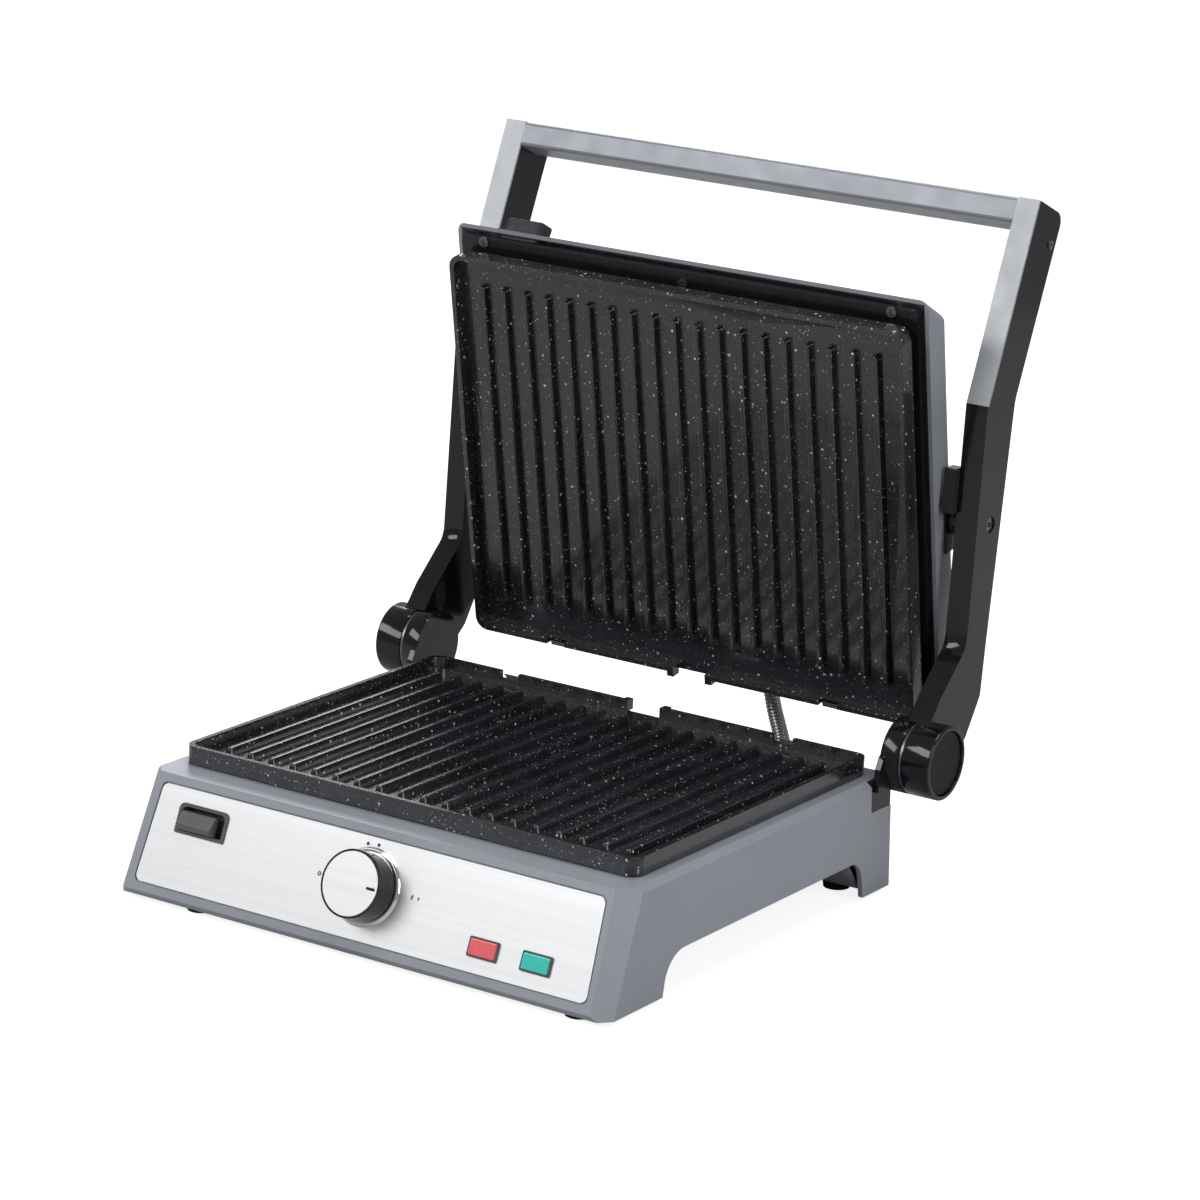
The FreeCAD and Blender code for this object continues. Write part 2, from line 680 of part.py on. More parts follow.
# ---- arms and handle ----
ARM_TOP_FRONT = (219.2, 388.6)
ARM_TOP_REAR = (248.4, 376.2)
ARM_KNEE_FRONT = (174.4, 277.1)
ARM_FACE = V(ARM_TOP_FRONT[0] - ARM_KNEE_FRONT[0], ARM_TOP_FRONT[1] - ARM_KNEE_FRONT[1], 0).normalize()


def behind_face(point, depth):
    """A point of the upper arm's front edge moved back, square to that face."""
    return point[0] + ARM_FACE.y * depth, point[1] - ARM_FACE.x * depth


def trim_outline():
    top_back = behind_face(ARM_TOP_FRONT, TRIM_THICK)
    knee_back = behind_face(ARM_KNEE_FRONT, TRIM_THICK)
    return [ARM_TOP_FRONT, ARM_KNEE_FRONT, knee_back, top_back]


def arm():
    """Right arm: blade, outer knuckle, pivot boss and bores."""
    front = [ARM_TOP_FRONT, ARM_KNEE_FRONT, (168.1, 138.2, 14.0), (141.4, 113.5, 6.0), (130.4, 99.6)]
    rear = [(130.0, 79.0), (152.5, 65.6), (174.4, 83.4, 10.0), (188.8, 105.5, 5.0)]
    rear += [(191.4, 135.0, 30.0), (206.5, 275.5, 25.0), ARM_TOP_REAR + (7.0,)]
    blade = prism("x", front + rear, ARM_X[0], ARM_X[1])
    blade = blade.cut(prism("x", trim_outline(), ARM_X[0] - 1, ARM_X[1] + 1))
    blade = blade.cut(rod("x", HINGE, KNUCKLE_R + 0.5, ARM_X[0] - 1, BOSS_X[0]))
    boss = rod("x", HINGE, KNUCKLE_R, BOSS_X[0], BOSS_X[1])
    outer_rim = [edge for edge in boss.Edges if abs(edge.CenterOfMass.x - BOSS_X[1]) < 1e-6]
    boss = boss.makeFillet(1.2, outer_rim)
    solid = blade.fuse(boss)
    solid = solid.cut(rod("x", HINGE, HINGE_PIN_R + RUNNING_FIT, BOSS_X[0] - 8, 187.0))
    solid = solid.cut(rod("x", HINGE, KNUCKLE_R - 2.6, 186.0, 200.0))
    solid = solid.cut(rod("x", PIVOT, LID_PIN_R + RUNNING_FIT, ARM_X[0] - 1, 178.2))
    solid = solid.cut(rod("x", PIVOT, 4.6, 179.4, ARM_X[1] + 1))
    return solid.removeSplitter()


def arm_trim():
    return prism("x", trim_outline(), ARM_X[0], ARM_X[1])


def handle_bar():
    top_front = (ARM_TOP_FRONT[0] - 0.1, ARM_TOP_FRONT[1] - 0.2, 2.0)
    top_rear = behind_face(top_front, 24.0) + (4.0,)
    low_front = (top_front[0] - ARM_FACE.x * 14.5, top_front[1] - ARM_FACE.y * 14.5, 2.0)
    low_rear = (top_rear[0] - ARM_FACE.x * 15.5, top_rear[1] - ARM_FACE.y * 15.5, 4.0)
    return prism("x", [top_front, low_front, low_rear, top_rear], -ARM_X[0], ARM_X[0])


def boss_cap():
    cap = rod("x", HINGE, KNUCKLE_R - 2.9, 186.0, 190.4)
    rim = [edge for edge in cap.Edges if abs(edge.CenterOfMass.x - 190.4) < 1e-6]
    return cap.makeFillet(0.8, rim)


def arm_screws():
    centre_high = (235.0, 361.0)
    pivot_screw = rod("x", PIVOT, 4.4, 179.4, 180.8).cut(rod("x", PIVOT, 1.6, 180.0, 182.0))
    small = rod("x", centre_high, 2.6, ARM_X[1], ARM_X[1] + 0.9)
    small = small.cut(rod("x", centre_high, 1.0, ARM_X[1] + 0.3, ARM_X[1] + 2))
    return Part.makeCompound([pivot_screw, small, mirrored(pivot_screw), mirrored(small)])


def stop_pad():
    """Block inside the arm, just above the lid's pivot."""
    return prism("x", [(165.8, 214.0, 1.0), (176.0, 214.0), (176.0, 240.0), (167.2, 240.0, 1.0)], 161.2, 168.0)


# ---- lid ----
def lid_form(inset, low_extra):
    """Lid housing's outside, or its hollow: two level rectangles joined by sloped walls."""
    drop = (LID_BACK_H - LID_LIP_H)
    top_h = LID_BACK_H - inset
    share = inset / drop

    def level(h, extra):
        part = (h - LID_LIP_H) / drop
        half = LID_HALF_WIDTH + (LID_BACK_HALF - LID_HALF_WIDTH) * part - extra
        rear = LID_D[0] + (LID_BACK_D[0] - LID_D[0]) * part + extra
        front = LID_D[1] + (LID_BACK_D[1] - LID_D[1]) * part - extra
        y = (lid_y(rear), lid_y(front))
        z = lid_z(h)
        return Part.makePolygon([V(-half, y[0], z), V(half, y[0], z), V(half, y[1], z), V(-half, y[1], z),
                                 V(-half, y[0], z)])

    low_h = LID_LIP_H - low_extra
    return Part.makeLoft([level(low_h, inset), level(top_h, inset * (1 + share * 0.2))], True, True)


def lid_housing():
    outer = lid_form(0, 0)
    upright = []
    for edge in outer.Edges:
        ends = [v.Point.z for v in edge.Vertexes]
        if abs(ends[0] - ends[1]) > 5:
            upright.append(edge)
    outer = outer.makeFillet(5.0, upright)
    crown = [edge for edge in outer.Edges if abs(edge.BoundBox.ZMin - lid_z(LID_BACK_H)) < 1e-3]
    outer = outer.makeFillet(3.0, crown)
    shell = outer.cut(lid_form(LID_WALL, 1.0))
    window_x = (UPPER_KEY_X[0] - 1.6, UPPER_KEY_X[1] + 1.6)
    shell = shell.cut(on_lid_front(rounded_block(window_x, (-8.0, 8.0), (-9, 9), 3.0)))
    frame_back = lid_z(FRAME_H + FRAME_SHEET)
    for x, d in FRAME_SCREWS:
        post = rod("z", (x, lid_y(d - 2.8)), 3.8, frame_back, lid_z(LID_BACK_H))
        shell = shell.fuse(post.common(outer))
    port = rod("y", (LID_PORT_X, lid_z(LID_PORT_H)), 8.3, lid_y(12), lid_y(-12))
    pin_room = rod("x", (lid_y(PIVOT_D), lid_z(PIVOT_H)), LID_PIN_R + 0.6, 149.0, 172.0)
    return raised(shell.cut([port, pin_room, mirrored(pin_room)]))


def lid_inner_frame():
    """Sheet frame between plate and lid: raised seat for the plate, turned-in edge all round."""
    t = FRAME_SHEET
    low = lid_z(FRAME_H)
    x = FRAME_HALF_WIDTH
    y = (lid_y(249.0), lid_y(-2.0))
    tray = rounded_block((-x, x), y, (low, lid_z(FRAME_RIM_H)), 4.0)
    inside = rounded_block((-x + t, x - t), (y[0] + t, y[1] - t), (low + t, low + 30), 3.0)
    seat_low = lid_z(PLATE_HEIGHT + 0.5)
    seat = rounded_block((-147, 147), (-116.8, 116.8), (seat_low, low + t), 7.0)
    bore = rounded_block((-144.6, 144.6), (-114.4, 114.4), (seat_low - 1, low), 5.0)
    opening = rounded_block((-131, 131), (-107, 107), (low - 30, low + 30), 6.0)
    return raised(tray.cut(inside).fuse(seat.cut(bore)).cut(opening).removeSplitter())


def frame_screws():
    screws = []
    z = lid_z(FRAME_H)
    for x, d in FRAME_SCREWS:
        head = rod("z", (x, lid_y(d)), 3.2, z - 1.3, z)
        slot = block((x - 2.1, x + 2.1), (lid_y(d) - 0.45, lid_y(d) + 0.45), (z - 3, z - 0.6))
        cross = block((x - 0.45, x + 0.45), (lid_y(d) - 2.1, lid_y(d) + 2.1), (z - 3, z - 0.6))
        screws.append(raised(head.cut(slot).cut(cross)))
    return Part.makeCompound(screws)


def lid_pivot_bracket():
    """Right bracket on the lid's back, carrying the pivot pin."""
    centre = (lid_y(PIVOT_D), lid_z(PIVOT_H))
    eye = rod("x", centre, 9.5, 140.0, 166.4)
    low = lid_z(30.0)
    outline = [(centre[0] - 17, low), (centre[0] + 17, low), (centre[0] + 17, centre[1] + 2, 3.0)]
    outline += [(centre[0] + 9, centre[1] + 9.5, 4.0), (centre[0] - 9, centre[1] + 9.5, 4.0)]
    outline += [(centre[0] - 17, centre[1] + 2, 3.0)]
    body = prism("x", outline, 136.0, 160.2)
    bracket = body.fuse(eye).cut(lid_form(0, 12.0))
    bracket = bracket.cut(rod("x", centre, LID_PIN_R + RUNNING_FIT, 150.0, 170.0))
    return raised(bracket.removeSplitter())


def lid_pivot_pin():
    pin = rod("x", PIVOT, LID_PIN_R, 151.0, 177.8)
    return pin.fuse(rod("x", PIVOT, 7.0, 166.7, 167.7)).removeSplitter()


def upper_release_bezel():
    low, high = UPPER_KEY_X
    flange = rounded_block((low - 3.4, high + 3.4), (-9.6, 9.6), (0.0, 1.4), 4.0)
    sleeve = rounded_block((low - 1.4, high + 1.4), (-7.8, 7.8), (-4.0, 1.4), 3.0)
    hole = rounded_block((low - 0.4, high + 0.4), (-6.8, 6.8), (-8, 4), 2.6)
    return raised(on_lid_front(flange.fuse(sleeve).cut(hole).removeSplitter()))


def upper_release_button():
    height = 9.6
    key = rounded_block(UPPER_KEY_X, (-6.4, 6.4), (-4.5, height), 2.4)
    crown = [edge for edge in key.Edges if abs(edge.BoundBox.ZMin - height) < 1e-3]
    return raised(on_lid_front(key.makeFillet(1.2, crown)))


# ---- conduit between base and lid ----
def conduit_route():
    y, z = raised_point(-16.0, LID_PORT_H)
    inside = raised_point(3.0, LID_PORT_H)
    return [
        (CONDUIT_X, 122.0, CONDUIT_Z),
        (CONDUIT_X, 140.0, CONDUIT_Z),
        (CONDUIT_X - 5, 160.0, 47.0),
        (CONDUIT_X - 17, 178.0, 51.0),
        (LID_PORT_X, y, z),
        (LID_PORT_X, inside[0], inside[1]),
    ]


def lid_ferrule():
    y, z = raised_point(-3.0, LID_PORT_H)
    inner_y, inner_z = raised_point(7.0, LID_PORT_H)
    outwards = V(0, y - inner_y, z - inner_z).normalize()
    return ferrule(V(LID_PORT_X, y, z), outwards, 8.0)


# ---- every piece, one file each ----
def main():
    os.makedirs("parts", exist_ok=True)
    lower_plate = cooking_plate(PLATE_WIDTH)
    upper_plate = cooking_plate(UPPER_PLATE_WIDTH)
    clips = both_sides(plate_clip())
    element = heating_element()
    pieces = {
        "base_housing": base_housing(),
        "base_bottom_cover": base_bottom_cover(),
        "control_panel": control_panel(),
        "knob_ring": knob_ring(),
        "thermostat_body": thermostat_body(),
        "thermostat_shaft": thermostat_shaft(),
        "thermostat_knob": thermostat_knob(),
        "knob_cap": knob_cap(),
        "indicator_bezels": Part.makeCompound([indicator_bezel(x) for x, _ in LAMPS]),
        "pilot_lamps": Part.makeCompound([pilot_lamp(x) for x, _ in LAMPS]),
        "lower_release_bezel": release_bezel(),
        "lower_release_button": release_button(),
        "lower_plate": to_lower(lower_plate),
        "lower_plate_clips": to_lower(clips),
        "lower_heating_element": to_lower(element),
        "lower_heat_reflector": lower_reflector(),
        "front_feet": front_feet(),
        "rear_feet": rear_feet(),
        "base_screws": base_screws(),
        "drip_tray": drip_tray(),
        "tray_guides": tray_guides(),
        "grease_chute": grease_chute(),
        "cord_gland": cord_gland(),
        "terminal_block": terminal_block(),
        "base_ferrule": ferrule(V(CONDUIT_X, BACK_Y, CONDUIT_Z), V(0, 1, 0), 8.0),
        "hinge_bracket_right": hinge_bracket(),
        "hinge_bracket_left": mirrored(hinge_bracket()),
        "hinge_pins": both_sides(hinge_pin()),
        "hinge_discs": both_sides(hinge_disc()),
        "arm_right": arm(),
        "arm_left": mirrored(arm()),
        "arm_trim_right": arm_trim(),
        "arm_trim_left": mirrored(arm_trim()),
        "handle_bar": handle_bar(),
        "boss_caps": both_sides(boss_cap()),
        "arm_screws": arm_screws(),
        "arm_stop_pads": both_sides(stop_pad()),
        "lid_pivot_pins": both_sides(lid_pivot_pin()),
        "lid_pivot_bracket_right": lid_pivot_bracket(),
        "lid_pivot_bracket_left": mirrored(lid_pivot_bracket()),
        "lid_housing": lid_housing(),
        "lid_inner_frame": lid_inner_frame(),
        "lid_frame_screws": frame_screws(),
        "upper_plate": to_upper(upper_plate),
        "upper_plate_clips": to_upper(clips),
        "upper_heating_element": to_upper(element),
        "upper_heat_reflector": upper_reflector(),
        "upper_release_bezel": upper_release_bezel(),
        "upper_release_button": upper_release_button(),
        "lid_ferrule": lid_ferrule(),
        "lid_cable_conduit": tube(conduit_route(), CONDUIT_R),
    }
    for x, name in LAMPS:
        pieces[name] = indicator_lens(x)
    for node, shape in pieces.items():
        save(node, shape)


main()
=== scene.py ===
import json
import math

import bmesh
import bpy
from mathutils import Matrix, Vector


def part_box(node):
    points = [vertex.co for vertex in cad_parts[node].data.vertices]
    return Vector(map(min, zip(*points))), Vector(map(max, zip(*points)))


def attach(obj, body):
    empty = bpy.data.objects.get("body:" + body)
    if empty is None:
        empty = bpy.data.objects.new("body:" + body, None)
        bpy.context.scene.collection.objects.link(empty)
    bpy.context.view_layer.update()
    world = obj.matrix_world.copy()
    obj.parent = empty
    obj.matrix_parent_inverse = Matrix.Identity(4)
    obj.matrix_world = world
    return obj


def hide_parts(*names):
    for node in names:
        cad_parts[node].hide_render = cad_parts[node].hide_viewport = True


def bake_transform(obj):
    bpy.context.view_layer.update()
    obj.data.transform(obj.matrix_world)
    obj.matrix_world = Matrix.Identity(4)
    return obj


# Looks of a panini press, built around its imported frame. Metres, +Z up, the front panel faces -Y.
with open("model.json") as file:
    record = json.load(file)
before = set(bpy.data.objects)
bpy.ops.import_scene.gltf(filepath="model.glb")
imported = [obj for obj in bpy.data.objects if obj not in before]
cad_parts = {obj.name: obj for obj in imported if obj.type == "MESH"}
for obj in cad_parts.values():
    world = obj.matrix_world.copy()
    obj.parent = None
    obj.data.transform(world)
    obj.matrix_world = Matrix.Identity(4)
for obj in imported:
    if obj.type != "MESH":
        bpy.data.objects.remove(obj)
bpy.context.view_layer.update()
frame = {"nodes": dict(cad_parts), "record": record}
nodes = frame["nodes"]

MM = 0.001

# ---- camera and light, as named values ----
CAMERA_PLACE = Vector((1.3153, -2.0009, 0.8200))
CAMERA_AZIMUTH = 32.94
CAMERA_ELEVATION = 15.42
CAMERA_ROLL = 2.63
CAMERA_LENS = 132.5
CAMERA_SENSOR = 36.0
CAMERA_REACH = (0.05, 40.0)     # nearest and farthest that it sees
BACKDROP_GLOW = 1.05            # what the camera sees past the floor
ROOM_GLOW = 0.26                # what lights the object from all round
FLOOR_GLOW = 0.85               # keeps the pale floor white up to its far edge
FLOOR_HALF = 1.6
FLOOR_DROP = 0.3 * MM           # just below the feet
LIGHT_TARGET = (0.0, 0.0, 0.15)

# ---- sizes of the added details ----
CONDUIT_RADIUS = 4.7 * MM
CONDUIT_RIB_DEPTH = 0.4 * MM
CONDUIT_RIB_PITCH = 2.4 * MM
CONDUIT_SIDES = 24
CONDUIT_RINGS_PER_RIB = 8
CONDUIT_FINENESS = 40
CONDUIT_ENDS = (0.0, 0.75, 0.88, 0.93, 1.0)       # where one length ends and the next begins
CONDUIT_ROUTE = (               # millimetres, from inside the base to inside the lid
    (78, 85.3, 50), (78, 103.3, 50), (73, 123.3, 47),
    (61, 141.3, 51), (38, 160.5, 75.3), (38, 157.0, 93.9),
)
PANEL_THICK = 1.2 * MM
SLOPE_ROUNDS = 4                # enough for the panel's slope to settle
PRINT_THICK = 0.06 * MM
PRINT_SINK = 0.01 * MM          # how far the print's underside lies inside the sheet
PRINT_SIDES = 28
BAR_END_STEPS = 8
POINTER_LIFT = 15.57 * MM       # from the panel's face to the pointer's underside
WELD_DISTANCE = 0.002 * MM
EDGE_ANGLE = 35                 # degrees; sharper edges than this are rounded

# ---- dial print: millimetres across and up the slope, from the dial's centre ----
OFF_RING = (-31.4, 0.7)
OFF_RING_OUTER = 1.25 * MM
OFF_RING_INNER = 0.55 * MM
HEAT_DOTS = ((-5.5, 22.9), (1.5, 23.5))
HEAT_DOT_OUTER = 1.0 * MM
HEAT_DOT_INNER = 0.12 * MM
END_BARS = ((30.2, 2.8), (34.4, 2.0))       # place across, length
END_BAR_UP = 1.2 * MM
END_BAR_WIDTH = 0.95 * MM
END_BAR_LEAN = 80
POINTER_OUT = 13.5 * MM
POINTER_LENGTH = 5.8 * MM
POINTER_WIDTH = 1.5 * MM


# ---- material tools ----
class Look:
    """One procedural material: a Principled shader and the textures that feed it."""

    def __init__(self, name, colour, roughness, metallic=0.0, specular=0.5, coat=0.0, coat_roughness=0.1):
        self.material = bpy.data.materials.new(name)
        self.material.use_nodes = True
        self.tree = self.material.node_tree
        self.shader = self.tree.nodes["Principled BSDF"]
        self.set("Base Color", (*colour, 1.0))
        self.set("Roughness", roughness)
        self.set("Metallic", metallic)
        self.set("Specular IOR Level", specular)
        self.set("Coat Weight", coat)
        self.set("Coat Roughness", coat_roughness)
        self.height = None

    def set(self, socket, value):
        self.shader.inputs[socket].default_value = value

    def place(self, stretch=(1.0, 1.0, 1.0)):
        coords = self.tree.nodes.new("ShaderNodeTexCoord")
        mapping = self.tree.nodes.new("ShaderNodeMapping")
        mapping.inputs["Scale"].default_value = stretch
        self.tree.links.new(coords.outputs["Object"], mapping.inputs["Vector"])
        return mapping.outputs["Vector"]

    def noise(self, per_metre, detail, stretch=(1.0, 1.0, 1.0)):
        texture = self.tree.nodes.new("ShaderNodeTexNoise")
        texture.inputs["Scale"].default_value = per_metre
        texture.inputs["Detail"].default_value = detail
        self.tree.links.new(self.place(stretch), texture.inputs["Vector"])
        return texture.outputs["Fac"]

    def cells(self, per_metre):
        texture = self.tree.nodes.new("ShaderNodeTexVoronoi")
        texture.inputs["Scale"].default_value = per_metre
        texture.inputs["Randomness"].default_value = 1.0
        self.tree.links.new(self.place(), texture.inputs["Vector"])
        return texture

    def remap(self, source, low, high, new_low, new_high):
        spread = self.tree.nodes.new("ShaderNodeMapRange")
        self.tree.links.new(source, spread.inputs["Value"])
        spread.inputs["From Min"].default_value = low
        spread.inputs["From Max"].default_value = high
        spread.inputs["To Min"].default_value = new_low
        spread.inputs["To Max"].default_value = new_high
        return spread.outputs["Result"]

    def math(self, operation, first, second):
        node = self.tree.nodes.new("ShaderNodeMath")
        node.operation = operation
        for socket, value in zip(node.inputs, (first, second)):
            if isinstance(value, (int, float)):
                socket.default_value = value
            else:
                self.tree.links.new(value, socket)
        return node.outputs["Value"]

    def mix(self, amount, first, second):
        """Colour that goes from first to second with amount; either may be a colour or a socket."""
        node = self.tree.nodes.new("ShaderNodeMix")
        node.data_type = "RGBA"
        self.tree.links.new(amount, node.inputs["Factor"])
        for socket, value in ((node.inputs["A"], first), (node.inputs["B"], second)):
            if isinstance(value, tuple):
                socket.default_value = (*value, 1.0)
            else:
                self.tree.links.new(value, socket)
        return node.outputs["Result"]

    def colour_between(self, amount, first, second):
        self.tree.links.new(self.mix(amount, first, second), self.shader.inputs["Base Color"])

    def clouded(self, per_metre, detail, band, first, second):
        """Colour that drifts from first to second as a noise crosses its band."""
        cloud = self.remap(self.noise(per_metre, detail), *band, 0.0, 1.0)
        self.colour_between(cloud, first, second)

    def roughness_between(self, source, smooth, rough, low=0.3, high=0.7):
        self.tree.links.new(self.remap(source, low, high, smooth, rough), self.shader.inputs["Roughness"])

    def bump(self, source, depth, strength):
        """Adds a bump on top of any earlier one; depth is in metres."""
        node = self.tree.nodes.new("ShaderNodeBump")
        node.inputs["Distance"].default_value = depth
        node.inputs["Strength"].default_value = strength
        self.tree.links.new(source, node.inputs["Height"])
        if self.height is not None:
            self.tree.links.new(self.height, node.inputs["Normal"])
        self.height = node.outputs["Normal"]
        self.tree.links.new(self.height, self.shader.inputs["Normal"])


def shade(colour, factor):
    return tuple(channel * factor for channel in colour)


# ---- materials, one function each ----
def satin_paint(name, colour, roughness=0.36):
    """Sprayed paint: faint orange peel, slow tone changes and fine metallic grain."""
    look = Look(name, colour, roughness, metallic=0.15, coat=0.18, coat_roughness=0.25)
    cloud = look.noise(9.0, 2.0)
    toned = look.mix(look.remap(cloud, 0.3, 0.7, 0.0, 1.0), shade(colour, 0.93), shade(colour, 1.06))
    grain = look.noise(2600.0, 1.0)
    look.colour_between(look.remap(grain, 0.42, 0.75, 0.0, 0.35), toned, shade(colour, 1.35))
    look.roughness_between(look.noise(60.0, 4.0), roughness - 0.05, roughness + 0.07)
    look.bump(look.noise(900.0, 2.0), 0.035 * MM, 0.5)
    return look.material


def brushed_metal(name, colour, roughness, stretch):
    """Long fine scratches along one direction, in colour, gloss and height."""
    look = Look(name, colour, roughness, metallic=0.92, specular=0.6)
    lines = look.noise(1.0, 5.0, stretch)
    broad = look.noise(1.0, 2.0, tuple(value * 0.12 for value in stretch))
    toned = look.mix(look.remap(broad, 0.35, 0.65, 0.0, 1.0), shade(colour, 0.965), shade(colour, 1.02))
    look.colour_between(look.remap(lines, 0.35, 0.7, 0.0, 0.35), toned, shade(colour, 0.88))
    look.roughness_between(lines, roughness - 0.06, roughness + 0.1)
    look.bump(lines, 0.008 * MM, 0.3)
    return look.material


def nonstick_coating():
    """Black coating on a cast plate, with white and grey flecks of three sizes."""
    black = (0.0095, 0.0095, 0.0125)
    look = Look("nonstick_coating", black, 0.22, specular=0.6, coat=0.8, coat_roughness=0.1)
    toned = look.mix(look.remap(look.noise(30.0, 3.0), 0.35, 0.7, 0.0, 1.0), black, (0.021, 0.021, 0.027))
    flecks = (
        (200.0, 0.150, (0.92, 0.92, 0.90), 0.95),
        (360.0, 0.180, (0.66, 0.67, 0.70), 0.80),
        (760.0, 0.200, (0.30, 0.31, 0.34), 0.65),
    )
    for per_metre, radius, tint, share in flecks:
        cell = look.cells(per_metre)
        split = look.tree.nodes.new("ShaderNodeSeparateColor")
        look.tree.links.new(cell.outputs["Color"], split.inputs["Color"])
        size = look.remap(split.outputs["Red"], 0.0, 1.0, radius * 0.45, radius * 1.25)
        inside = look.math("SUBTRACT", size, cell.outputs["Distance"])
        dot = look.remap(inside, 0.0, radius * 0.35, 0.0, 1.0)
        kept = look.math("GREATER_THAN", split.outputs["Green"], 1.0 - share)
        bright = look.remap(split.outputs["Blue"], 0.0, 1.0, 0.25, 1.0)
        amount = look.math("MULTIPLY", look.math("MULTIPLY", dot, kept), bright)
        toned = look.mix(amount, toned, tint)
    look.tree.links.new(toned, look.shader.inputs["Base Color"])
    look.roughness_between(look.noise(140.0, 4.0), 0.18, 0.3)
    look.bump(look.noise(1100.0, 3.0), 0.03 * MM, 0.4)
    look.bump(look.noise(160.0, 2.0), 0.04 * MM, 0.2)
    return look.material


def gloss_enamel(name, colour, roughness=0.14):
    """Deep gloss paint with very faint haze, dust and orange peel."""
    look = Look(name, colour, roughness, specular=0.4, coat=0.3, coat_roughness=0.05)
    dust = look.noise(1500.0, 2.0)
    look.colour_between(look.remap(dust, 0.6, 0.82, 0.0, 0.5), colour, shade(colour, 3.2))
    look.roughness_between(look.noise(45.0, 5.0), roughness - 0.03, roughness + 0.08)
    look.bump(look.noise(420.0, 2.0), 0.03 * MM, 0.35)
    return look.material


def moulded_plastic(name, colour, roughness=0.5, texture_depth=0.05):
    """Injection-moulded surface with a fine spark-eroded texture."""
    look = Look(name, colour, roughness, specular=0.4)
    look.clouded(25.0, 2.0, (0.35, 0.7), colour, shade(colour, 1.25))
    look.roughness_between(look.noise(300.0, 3.0), roughness - 0.08, roughness + 0.08)
    look.bump(look.noise(2200.0, 2.0), texture_depth * MM, 0.6)
    return look.material


def chrome_plate():
    look = Look("chrome_plate", (0.82, 0.83, 0.85), 0.08, metallic=1.0)
    look.clouded(50.0, 2.0, (0.3, 0.7), (0.78, 0.79, 0.81), (0.86, 0.87, 0.89))
    look.roughness_between(look.noise(700.0, 3.0), 0.05, 0.16)
    look.bump(look.noise(350.0, 2.0), 0.01 * MM, 0.3)
    return look.material


def lamp_lens(name, colour, painted_rib_shade, glow):
    """Moulded lens: fine upright ribs inside, with painted shade that leaves each rib lighter in its
    middle and darker towards its edges, and a faint painted glow in place of light passing through the
    lens.
    """
    look = Look(name, colour, 0.16, specular=0.6, coat=0.5, coat_roughness=0.05)
    wave = look.tree.nodes.new("ShaderNodeTexWave")
    wave.bands_direction = "X"
    wave.inputs["Scale"].default_value = 340.0
    wave.inputs["Distortion"].default_value = 0.4
    look.tree.links.new(look.place(), wave.inputs["Vector"])
    cloud = look.remap(look.noise(260.0, 3.0), 0.3, 0.7, 0.0, 0.6)
    toned = look.mix(cloud, colour, shade(colour, 1.25))
    # painted shade: each rib is darkened towards its edges, the way light bent by the ribs falls
    look.colour_between(look.remap(wave.outputs["Fac"], 0.0, 1.0, 0.35, 0.0), toned, painted_rib_shade)
    # painted glow: a faint emission in the lens colour stands in for light passing through the lens
    look.set("Emission Color", (*colour, 1.0))
    look.set("Emission Strength", glow)
    look.set("Subsurface Weight", 0.25)
    look.set("Subsurface Radius", (0.004, 0.002, 0.002))
    look.bump(wave.outputs["Fac"], 0.06 * MM, 0.5)
    return look.material


def zinc_sheet():
    """Zinc-plated sheet with a soft crystal pattern."""
    look = Look("zinc_sheet", (0.5, 0.51, 0.52), 0.38, metallic=0.9)
    flake = look.cells(120.0)
    split = look.tree.nodes.new("ShaderNodeSeparateColor")
    look.tree.links.new(flake.outputs["Color"], split.inputs["Color"])
    look.colour_between(split.outputs["Red"], (0.42, 0.43, 0.45), (0.56, 0.57, 0.58))
    look.roughness_between(split.outputs["Green"], 0.28, 0.5, 0.0, 1.0)
    look.bump(look.noise(500.0, 3.0), 0.02 * MM, 0.4)
    return look.material


def heated_steel():
    """Dull element sheath, browned by heat."""
    look = Look("heated_steel", (0.2, 0.18, 0.165), 0.5, metallic=0.8)
    look.clouded(40.0, 4.0, (0.3, 0.7), (0.12, 0.11, 0.11), (0.26, 0.21, 0.17))
    look.roughness_between(look.noise(260.0, 4.0), 0.42, 0.62)
    look.bump(look.noise(900.0, 3.0), 0.04 * MM, 0.5)
    return look.material


def plated_screws():
    look = Look("plated_screws", (0.3, 0.3, 0.31), 0.3, metallic=0.95)
    look.clouded(300.0, 3.0, (0.35, 0.7), (0.2, 0.2, 0.21), (0.42, 0.42, 0.43))
    look.roughness_between(look.noise(900.0, 3.0), 0.22, 0.42)
    look.bump(look.noise(1800.0, 2.0), 0.02 * MM, 0.4)
    return look.material


def foot_rubber():
    look = Look("foot_rubber", (0.016, 0.016, 0.017), 0.75, specular=0.3)
    look.clouded(200.0, 4.0, (0.4, 0.75), (0.013, 0.013, 0.014), (0.03, 0.03, 0.03))
    look.roughness_between(look.noise(400.0, 3.0), 0.66, 0.85)
    look.bump(look.noise(1500.0, 3.0), 0.06 * MM, 0.6)
    return look.material


def glazed_ceramic():
    look = Look("glazed_ceramic", (0.78, 0.77, 0.72), 0.35, coat=0.3)
    look.clouded(220.0, 4.0, (0.4, 0.7), (0.8, 0.79, 0.75), (0.7, 0.68, 0.63))
    look.roughness_between(look.noise(500.0, 3.0), 0.28, 0.45)
    look.bump(look.noise(900.0, 3.0), 0.03 * MM, 0.4)
    return look.material


def clear_tube():
    look = Look("clear_tube", (0.85, 0.83, 0.78), 0.1, specular=0.6)
    look.clouded(300.0, 2.0, (0.4, 0.7), (0.86, 0.84, 0.8), (0.7, 0.66, 0.6))
    look.roughness_between(look.noise(600.0, 2.0), 0.06, 0.16)
    look.bump(look.noise(500.0, 2.0), 0.02 * MM, 0.3)
    return look.material


